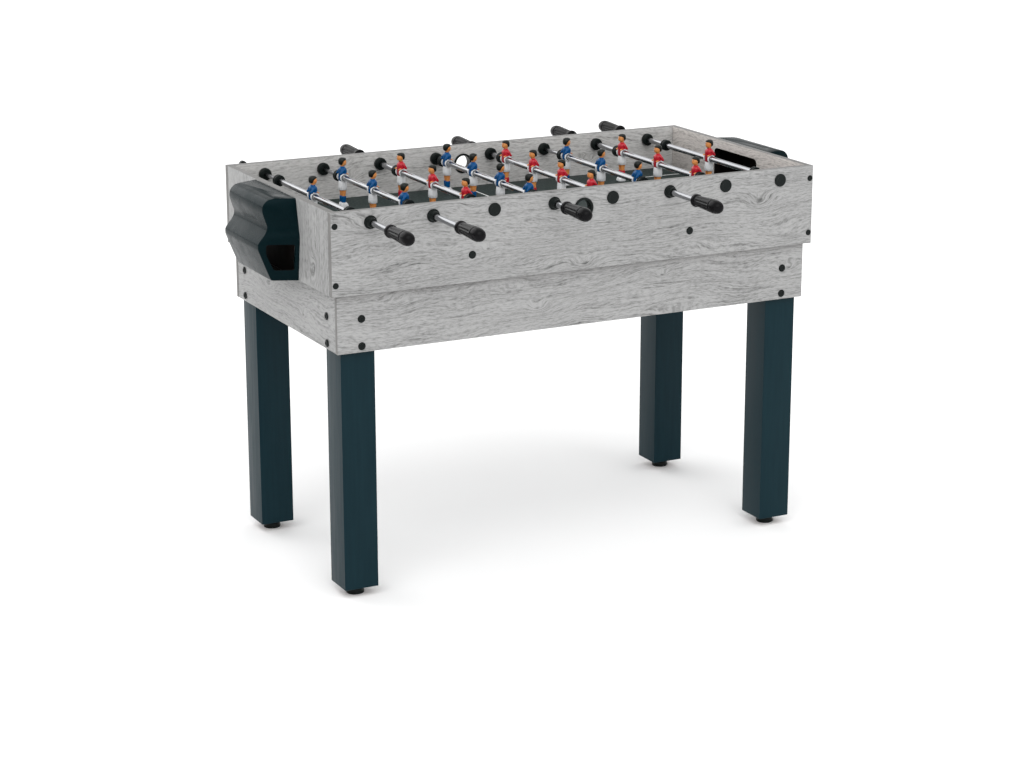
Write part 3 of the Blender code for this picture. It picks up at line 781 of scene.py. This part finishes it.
def ball_return(end):
    """A thin moulded box outside the goal: open at the wall, with an outlet in each side."""
    sign = ENDS[end]
    mesh = mesh_from(lambda bm: add_return_body(bm, sign, 0.0, GAP))
    mesh = combined(mesh, "DIFFERENCE", lambda bm: add_return_body(bm, sign, RETURN_WALL, -PAST))
    outline = rounded(OUTLET, 0.006, 4)
    mesh = combined(mesh, "DIFFERENCE", lambda bm: add_rings(
        bm, [[(sign * (HALF_X + depth), y, height) for depth, height in outline]
             for y in (-0.2, 0.2)]))
    near, far = sorted(sign * (HALF_X + x) for x in GROOVE_X)
    mesh = combined(mesh, "DIFFERENCE", lambda bm: add_box(
        bm, (near, GROOVE_Y[0], RETURN_TOP - GROOVE_DEPTH), (far, GROOVE_Y[1], RETURN_TOP + PAST)))
    mesh = bevelled(mesh, 0.0004, 2, 0.9)
    # The inside faces get the matt dark plastic: painted shade inside the box
    paint(mesh, 1, faces_inwards(sign))
    add_piece(f"return_box_{end}", smooth(mesh, 0.7), [RETURN, RETURN_INSIDE_PAINTED_SHADE], "cabinet",
              [f"ball_return_{end}"])


def serve_ring(side):
    """A sleeve through the wall with a rounded flange on each face."""
    sign = SIDES[side]
    bore, sleeve, flange = 0.0183, 0.0205, 0.0235
    inside, outside = -0.0030, WALL + 0.0033
    outline = [(bore, inside + 0.0008), (bore + 0.0010, inside), (flange - 0.0014, inside),
               (flange, inside + 0.0014), (flange, -GAP), (sleeve, -GAP), (sleeve, WALL + GAP),
               (flange, WALL + GAP), (flange, outside - 0.0014), (flange - 0.0014, outside),
               (bore + 0.0010, outside), (bore, outside - 0.0008)]
    place = pointing_y(0, sign * INNER_Y, SERVE_Z, sign)
    turned_piece(f"serve_ring_{side}", outline, BLACK, place, "cabinet",
                 [f"serve_cup_{side}"], sides=56, corner=0.0004)


# Figures, measured from the rod's axis; a blue one faces +X

def oval(z, x, y, half_x, half_y, sides, power):
    """A level ring of points, round for power 2 and squarer above it."""
    ring = []
    for i in range(sides):
        a = 2 * pi * i / sides
        c, s = cos(a), sin(a)
        ring.append((x + half_x * abs(c) ** (2 / power) * (1 if c >= 0 else -1),
                     y + half_y * abs(s) ** (2 / power) * (1 if s >= 0 else -1), z))
    return ring


def figure_mesh(name, shirt):
    """A moulded player: slots are shirt, white, skin, hair and eyes.

    A row of a skin is a height, centre and half sizes in mm, and the power if it isn't round.
    """
    def skin(bm, rows, material, sides=20):
        add_rings(bm, [oval(*(value / 1000 for value in row[:5]), sides,
                            row[5] if len(row) > 5 else 2.0) for row in rows],
                  material=material)

    def pair(bm, rows, material, sides):
        """The same rows on both sides of the figure."""
        for sign in (-1, 1):
            skin(bm, [(row[0], row[1], sign * row[2], *row[3:]) for row in rows], material, sides)

    def bored_skin(bm, rows, material):
        """A skin with the rod's hole through it."""
        shell = mesh_from(lambda part: skin(part, rows, material))
        bm.from_mesh(combined(shell, "DIFFERENCE", lambda tool: add_cylinder(
            tool, "Y", 0, 0, -2 * PAST, 2 * PAST, ROD_HOLE)))

    def build(bm):
        # shirt, from below the rod to the shoulders
        bored_skin(bm, [
            (-7.8, 0, 0, 7.6, 9, 2.6), (-7, 0, 0, 8.6, 9.8, 2.6), (0, 0, 0, 8.8, 10, 2.6),
            (7, 0.2, 0, 8.6, 10.1, 2.5), (13, 0.2, 0, 9.2, 10.6, 2.4),
            (17, 0.2, 0, 9.2, 11, 2.3), (20, 0.1, 0, 8.2, 10.6, 2.2), (22.2, 0, 0, 6.6, 8.4),
            (24, 0.2, 0, 4.8, 5.4)], 0)
        # collar
        skin(bm, [
            (22.6, 0.3, 0, 5, 5.6), (24, 0.3, 0, 5.3, 5.8), (25, 0.3, 0, 4.8, 5),
            (25.4, 0.3, 0, 4, 4.2)], 0)
        # neck and head
        skin(bm, [
            (22.5, 0.2, 0, 4.2, 4.4), (26.2, 0.4, 0, 4.2, 4.4), (27, 1.4, 0, 5.6, 5),
            (28.5, 1.8, 0, 6.8, 6), (31, 1.6, 0, 7.8, 6.9), (34.5, 1.2, 0, 8.2, 7.3),
            (38, 0.8, 0, 8, 7.2), (41, 0.4, 0, 6.8, 6.2), (43, 0.2, 0, 4.5, 4.2),
            (44, 0.2, 0, 2, 1.8)], 2)
        # nose
        skin(bm, [
            (32.2, 8.8, 0, 0.8, 1.4), (33, 9.3, 0, 1.3, 1.5), (34.8, 9, 0, 1, 1),
            (36.2, 8.4, 0, 0.6, 0.8)], 2, 8)
        # hair over the top and the back
        skin(bm, [
            (29.2, -3.4, 0, 3.6, 5.2), (31, -3.6, 0, 5, 6.8), (34.5, -3, 0, 6, 7.9),
            (38, -1.4, 0, 7.8, 8.3), (40, 0.2, 0, 9.2, 8.2), (42, 0.4, 0, 8.6, 7.5),
            (43.8, 0.3, 0, 6.4, 5.6), (44.8, 0.2, 0, 3, 2.6)], 3)
        # ears and eyes
        pair(bm, [
            (31.8, 1.2, 6.8, 1, 0.8), (33.5, 1.4, 7.5, 1.6, 1),
            (35.8, 1.2, 7.3, 1, 0.8)], 2, 8)
        pair(bm, [
            (35.6, 8.6, 2.9, 0.3, 0.6), (36.2, 8.6, 2.9, 0.5, 1),
            (36.9, 8.4, 2.9, 0.3, 0.6)], 4, 8)
        # arms bent back at the elbows, with the hands on the hips
        pair(bm, [
            (20.6, -0.4, 8, 3.4, 3.2), (19, -1.2, 9.4, 4.4, 3.4), (15, -3.6, 10.2, 4.2, 2.8),
            (11.2, -6.2, 10.4, 4, 2.6), (8.8, -7.4, 10.4, 3.4, 2.4),
            (7.6, -7.2, 10.3, 1.8, 1.4)], 0, 14)
        pair(bm, [
            (11.8, -7, 10.3, 2, 2.2), (10.8, -3, 10.6, 3, 2.3), (9.2, 2.2, 10.5, 3.2, 2.3),
            (8, 5.8, 10.2, 2.6, 2.2)], 0, 12)
        pair(bm, [
            (10.2, 5.2, 10.2, 1.8, 1.8), (9.2, 7, 10.1, 2.8, 2.1), (7.6, 8.8, 9.9, 2.6, 2.1),
            (6.6, 9.2, 9.7, 1.2, 1.2)], 2, 12)
        # shorts
        bored_skin(bm, [
            (-28.8, 0, 0, 8.4, 10.4, 2.6), (-28, 0, 0, 9.2, 11, 2.6), (-20, 0, 0, 9.2, 11, 2.6),
            (-12, 0, 0, 8.6, 10.3, 2.6), (-7.6, 0, 0, 8.2, 9.6, 2.6),
            (-6, 0, 0, 7.4, 8.8, 2.6)], 1)
        # legs, socks and shoes
        pair(bm, [
            (-45, 0, 4.6, 4.2, 3.8), (-40, 0.2, 4.6, 4.8, 4), (-34, 0.2, 4.7, 5.4, 4.3),
            (-26.5, 0, 4.8, 6, 4.6)], 2, 16)
        pair(bm, [
            (-60, 0.2, 4.5, 4.8, 4.2), (-55, 0, 4.5, 5, 4.3), (-48, -0.2, 4.6, 5.9, 4.6),
            (-43.4, -0.2, 4.6, 5.8, 4.6), (-42.2, -0.2, 4.6, 4.8, 4.2)], 0, 16)
        pair(bm, [
            (-68, 1.6, 4.7, 9.6, 4.4, 2.6), (-66, 1.8, 4.7, 10, 4.7, 2.6),
            (-62, 1.4, 4.7, 9.2, 4.6, 2.4), (-59.2, 0.4, 4.6, 7.4, 4.4, 2.2),
            (-57.4, 0, 4.6, 5.4, 4.2, 2)], 1, 18)
        # rings round the rod
        for sign in (-1, 1):
            ring = rounded([(ROD_HOLE, 0.0080), (0.0096, 0.0080), (0.0100, 0.0100),
                            (0.0092, 0.0115), (ROD_HOLE, 0.0115)], 0.0005)
            add_turned(bm, ring, sides=32, closed=True, material=1,
                       place=Matrix.Rotation(-sign * pi / 2, 4, "X"))

    mesh = smooth(mesh_from(build, name), 0.9)
    for material in (shirt, WHITE, SKIN, HAIR, DARK):
        mesh.materials.append(material)
    return mesh


# Rods, bumpers and handles

def handle_mesh():
    """Fluted grip turned about Z: collar at z = 0, smooth rounded end at its length."""
    flute_start, flute_end, flute_depth, flute_count = 0.0150, 0.0700, 0.0017, 9
    waist, widening, steps = 0.0119, 0.0029, 22
    outline = [(0.0, HANDLE_BORE_DEPTH), (ROD_HOLE, HANDLE_BORE_DEPTH), (ROD_HOLE, 0.0),
               (0.0128, 0.0), (0.0139, 0.0008), (0.0142, 0.0022), (0.0142, 0.0066),
               (0.0137, 0.0084), (0.0124, 0.0096), (waist, 0.0120), (waist, flute_start)]
    for k in range(1, steps + 1):
        t = k / steps
        outline.append((waist + widening * t ** 0.8,
                        flute_start + (flute_end + 0.0010 - flute_start) * t))
    outline += [(0.0146, 0.0720), (0.0139, 0.0730), (0.0140, 0.0740), (0.0148, 0.0750),
                (0.0150, 0.0768), (0.0150, 0.0800), (0.0148, 0.0840), (0.0142, 0.0885),
                (0.0130, 0.0930), (0.0111, 0.0970), (0.0086, 0.1000), (0.0052, 0.1015),
                (0.0, HANDLE_LENGTH)]

    def flutes(radius, angle, height):
        if radius < 0.011 or not flute_start < height < flute_end:
            return radius
        inside = min(1.0, (height - flute_start) / 0.006, (flute_end - height) / 0.006)
        wave = 0.5 + 0.5 * cos(flute_count * angle)
        return radius - flute_depth * inside ** 0.5 * wave ** 3

    mesh = mesh_from(lambda bm: add_turned(bm, outline, sides=12 * flute_count, closed=False,
                                           shape=flutes))
    return smooth(mesh, 0.8)


def ends_along(node, middle, handle_side):
    """Where a node starts and ends along its rod, measured from middle towards the handle."""
    low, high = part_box(node)
    return sorted(((low.y - middle) * handle_side, (high.y - middle) * handle_side))


def rod_men(number, x, meshes):
    """The men of a rod, each where its CAD node is; returns the places of their middles."""
    team, role, men, _ = RODS[number - 1]
    names = [f"{team}_{role}"] if men == 1 else [f"{team}_{role}_{i + 1}" for i in range(men)]
    middles = []
    for name in names:
        low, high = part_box(name)
        middles.append((low.y + high.y) / 2)
        turn = Matrix.Rotation(0.0 if team == "blue" else pi, 4, "Z")
        place = Matrix.Translation((x, middles[-1], ROD_Z)) @ turn
        add_piece(f"player_{name}", meshes[team], [], f"rod_{number}_unit",
                  [name], place)
    return middles


def rod_tube(number, x, middle, handle_side):
    tail, grip = ends_along(f"rod_{number}", middle, handle_side)
    outline = [(TUBE_BORE, tail), (TUBE_RADIUS, tail), (TUBE_RADIUS, grip), (TUBE_BORE, grip)]
    turned_piece(f"tube_{number}", outline, CHROME, pointing_y(x, middle, ROD_Z, handle_side),
                 f"rod_{number}_unit", [f"rod_{number}"], corner=0.0004)


def rod_bumpers(number, x, middle, start, handle_side):
    """A rubber bumper on each side of the men, with a groove round its middle."""
    inner, outer, length = TUBE_RADIUS + 0.0001, BUMPER_RADIUS, BUMPER_LENGTH
    round_off, groove = 0.0012, outer - 0.0011
    outline = [(inner, 0.0), (outer - round_off, 0.0), (outer, round_off), (outer, length * 0.40),
               (groove, length * 0.46), (groove, length * 0.54), (outer, length * 0.60),
               (outer, length - round_off), (outer - round_off, length), (inner, length)]
    for tag, sign in (("a", 1), ("b", -1)):
        place = pointing_y(x, middle + sign * handle_side * start, ROD_Z, sign * handle_side)
        turned_piece(f"bumper_{number}_{tag}", outline, RUBBER, place, f"rod_{number}_unit",
                     [f"rod_{number}"], corner=0.0005)


def inner_rod(number, x, handle_side):
    """The inner rod, held by the far bearing. The first one comes out and has an end cap."""
    tail, tip = ends_along(f"inner_rod_{number}", 0.0, handle_side)
    body, c, cap = f"rod_{number}_core", CORE_RADIUS, END_CAP_RADIUS
    if number == 1:
        end_cap = [(0.0, 0.0), (cap - 0.0030, 0.0), (cap - 0.0006, 0.0016), (cap, 0.0040),
                   (cap, 0.0140), (c + 0.0002, 0.0140), (c + 0.0002, 0.0030), (0.0, 0.0030)]
        turned_piece("rod_1_end_cap", end_cap, BLACK,
                     pointing_y(x, handle_side * tail, ROD_Z, handle_side), body,
                     ["inner_rod_1"], closed=False)
        tail += 0.002
    core = [(0.0, tail), (c, tail), (c, tip), (0.0, tip)]
    turned_piece(f"core_{number}", core, CHROME, pointing_y(x, 0, ROD_Z, handle_side), body,
                 [f"inner_rod_{number}"], closed=False)


def build_rod(number, meshes):
    """A rod with its two bearings, men, bumpers, inner rod and handle."""
    men, handle_side = RODS[number - 1][2:]
    x = HINGES[number - 1]["pos_m"][0]
    for side in SIDES:
        bearing(number, x, side, handle_side)
    middles = rod_men(number, x, meshes)
    middle = sum(middles) / men
    rod_tube(number, x, middle, handle_side)
    start = GOALKEEPER_BUMPER if men == 1 else max(middles) - middle + MAN_TO_BUMPER
    rod_bumpers(number, x, middle, start, handle_side)
    inner_rod(number, x, handle_side)
    low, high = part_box(f"handle_{number}")
    collar = low.y if handle_side > 0 else high.y
    add_piece(f"grip_{number}", meshes["handle"], [GRIP], f"rod_{number}_unit",
              [f"handle_{number}"], pointing_y(x, collar, ROD_Z, handle_side))


def build_table():
    for side in SIDES:
        side_wall(side)
        serve_ring(side)
        for end in ENDS:
            leg(side, end)
    for end in ENDS:
        end_wall(end)
        ball_return(end)
    wall_screws()
    playfield()
    apron()
    meshes = {"handle": handle_mesh(), "blue": figure_mesh("blue_player", BLUE),
              "red": figure_mesh("red_player", RED)}
    for number in range(1, len(RODS) + 1):
        build_rod(number, meshes)


# Studio

def build_floor():
    mesh = mesh_from(lambda bm: bmesh.ops.create_grid(bm, x_segments=1, y_segments=1, size=60.0))
    floor = in_scene("floor", mesh)
    pale = Nodes("studio_floor", Roughness=0.9, Specular_IOR_Level=0.0)
    pale.colour(pale.mix(pale.noise(pale.scaled((0.5, 0.5, 0.5))), (0.93, 0.93, 0.93),
                         (0.95, 0.95, 0.95)))
    mesh.materials.append(pale.material)
    floor.location.z = -0.0002


def build_world():
    """A white surround, a little dimmer below the horizon."""
    world = bpy.data.worlds.new("studio")
    world.use_nodes = True
    nodes, links = world.node_tree.nodes, world.node_tree.links
    place = nodes.new("ShaderNodeTexCoord")
    split = nodes.new("ShaderNodeSeparateXYZ")
    glow = nodes.new("ShaderNodeMapRange")
    for name, value in (("From Min", -0.25), ("From Max", 0.6), ("To Min", 0.76), ("To Max", 1.02)):
        glow.inputs[name].default_value = value
    links.new(place.outputs["Generated"], split.inputs["Vector"])
    links.new(split.outputs["Z"], glow.inputs["Value"])
    nodes["Background"].inputs["Color"].default_value = (1.0, 1.0, 1.0, 1.0)
    links.new(glow.outputs["Result"], nodes["Background"].inputs["Strength"])
    bpy.context.scene.world = world


def add_sun(name, azimuth, elevation, angle, strength):
    """A soft light from far away, so that the whole floor gets the same."""
    light = bpy.data.lights.new(name, "SUN")
    light.energy = strength
    light.angle = radians(angle)
    a, e = radians(azimuth), radians(elevation)
    towards = Vector((-sin(a) * cos(e), cos(a) * cos(e), -sin(e)))
    in_scene(name, light).rotation_euler = towards.to_track_quat("-Z", "Y").to_euler()


def build_camera():
    """A camera above the left end of the near side, looking down along yaw and pitch."""
    camera = bpy.data.cameras.new("camera")
    camera.lens = 85.258
    camera.sensor_width = 36.0
    camera.clip_end = 200.0
    obj = in_scene("camera", camera)
    yaw, pitch, roll = radians(26.8418), radians(15.5458), radians(-0.0715)
    forward = Vector((sin(yaw) * cos(pitch), cos(yaw) * cos(pitch), -sin(pitch)))
    level = Vector((cos(yaw), -sin(yaw), 0.0))
    upright = level.cross(forward)
    right = cos(roll) * level + sin(roll) * upright
    up = right.cross(forward)
    turn = Matrix((right, up, -forward)).transposed().to_4x4()
    obj.matrix_world = Matrix.Translation((-2.4600, -4.8253, 1.8567)) @ turn
    bpy.context.scene.camera = obj


def build_studio():
    build_floor()
    build_world()
    add_sun("key_light", -30.0, 48.0, 58.0, 1.05)
    add_sun("front_light", 8.0, 32.0, 60.0, 0.50)
    add_sun("back_light", -158.0, 28.0, 50.0, 0.75)
    build_camera()
    bpy.context.scene.view_settings.view_transform = "Standard"


build_studio()
build_table()
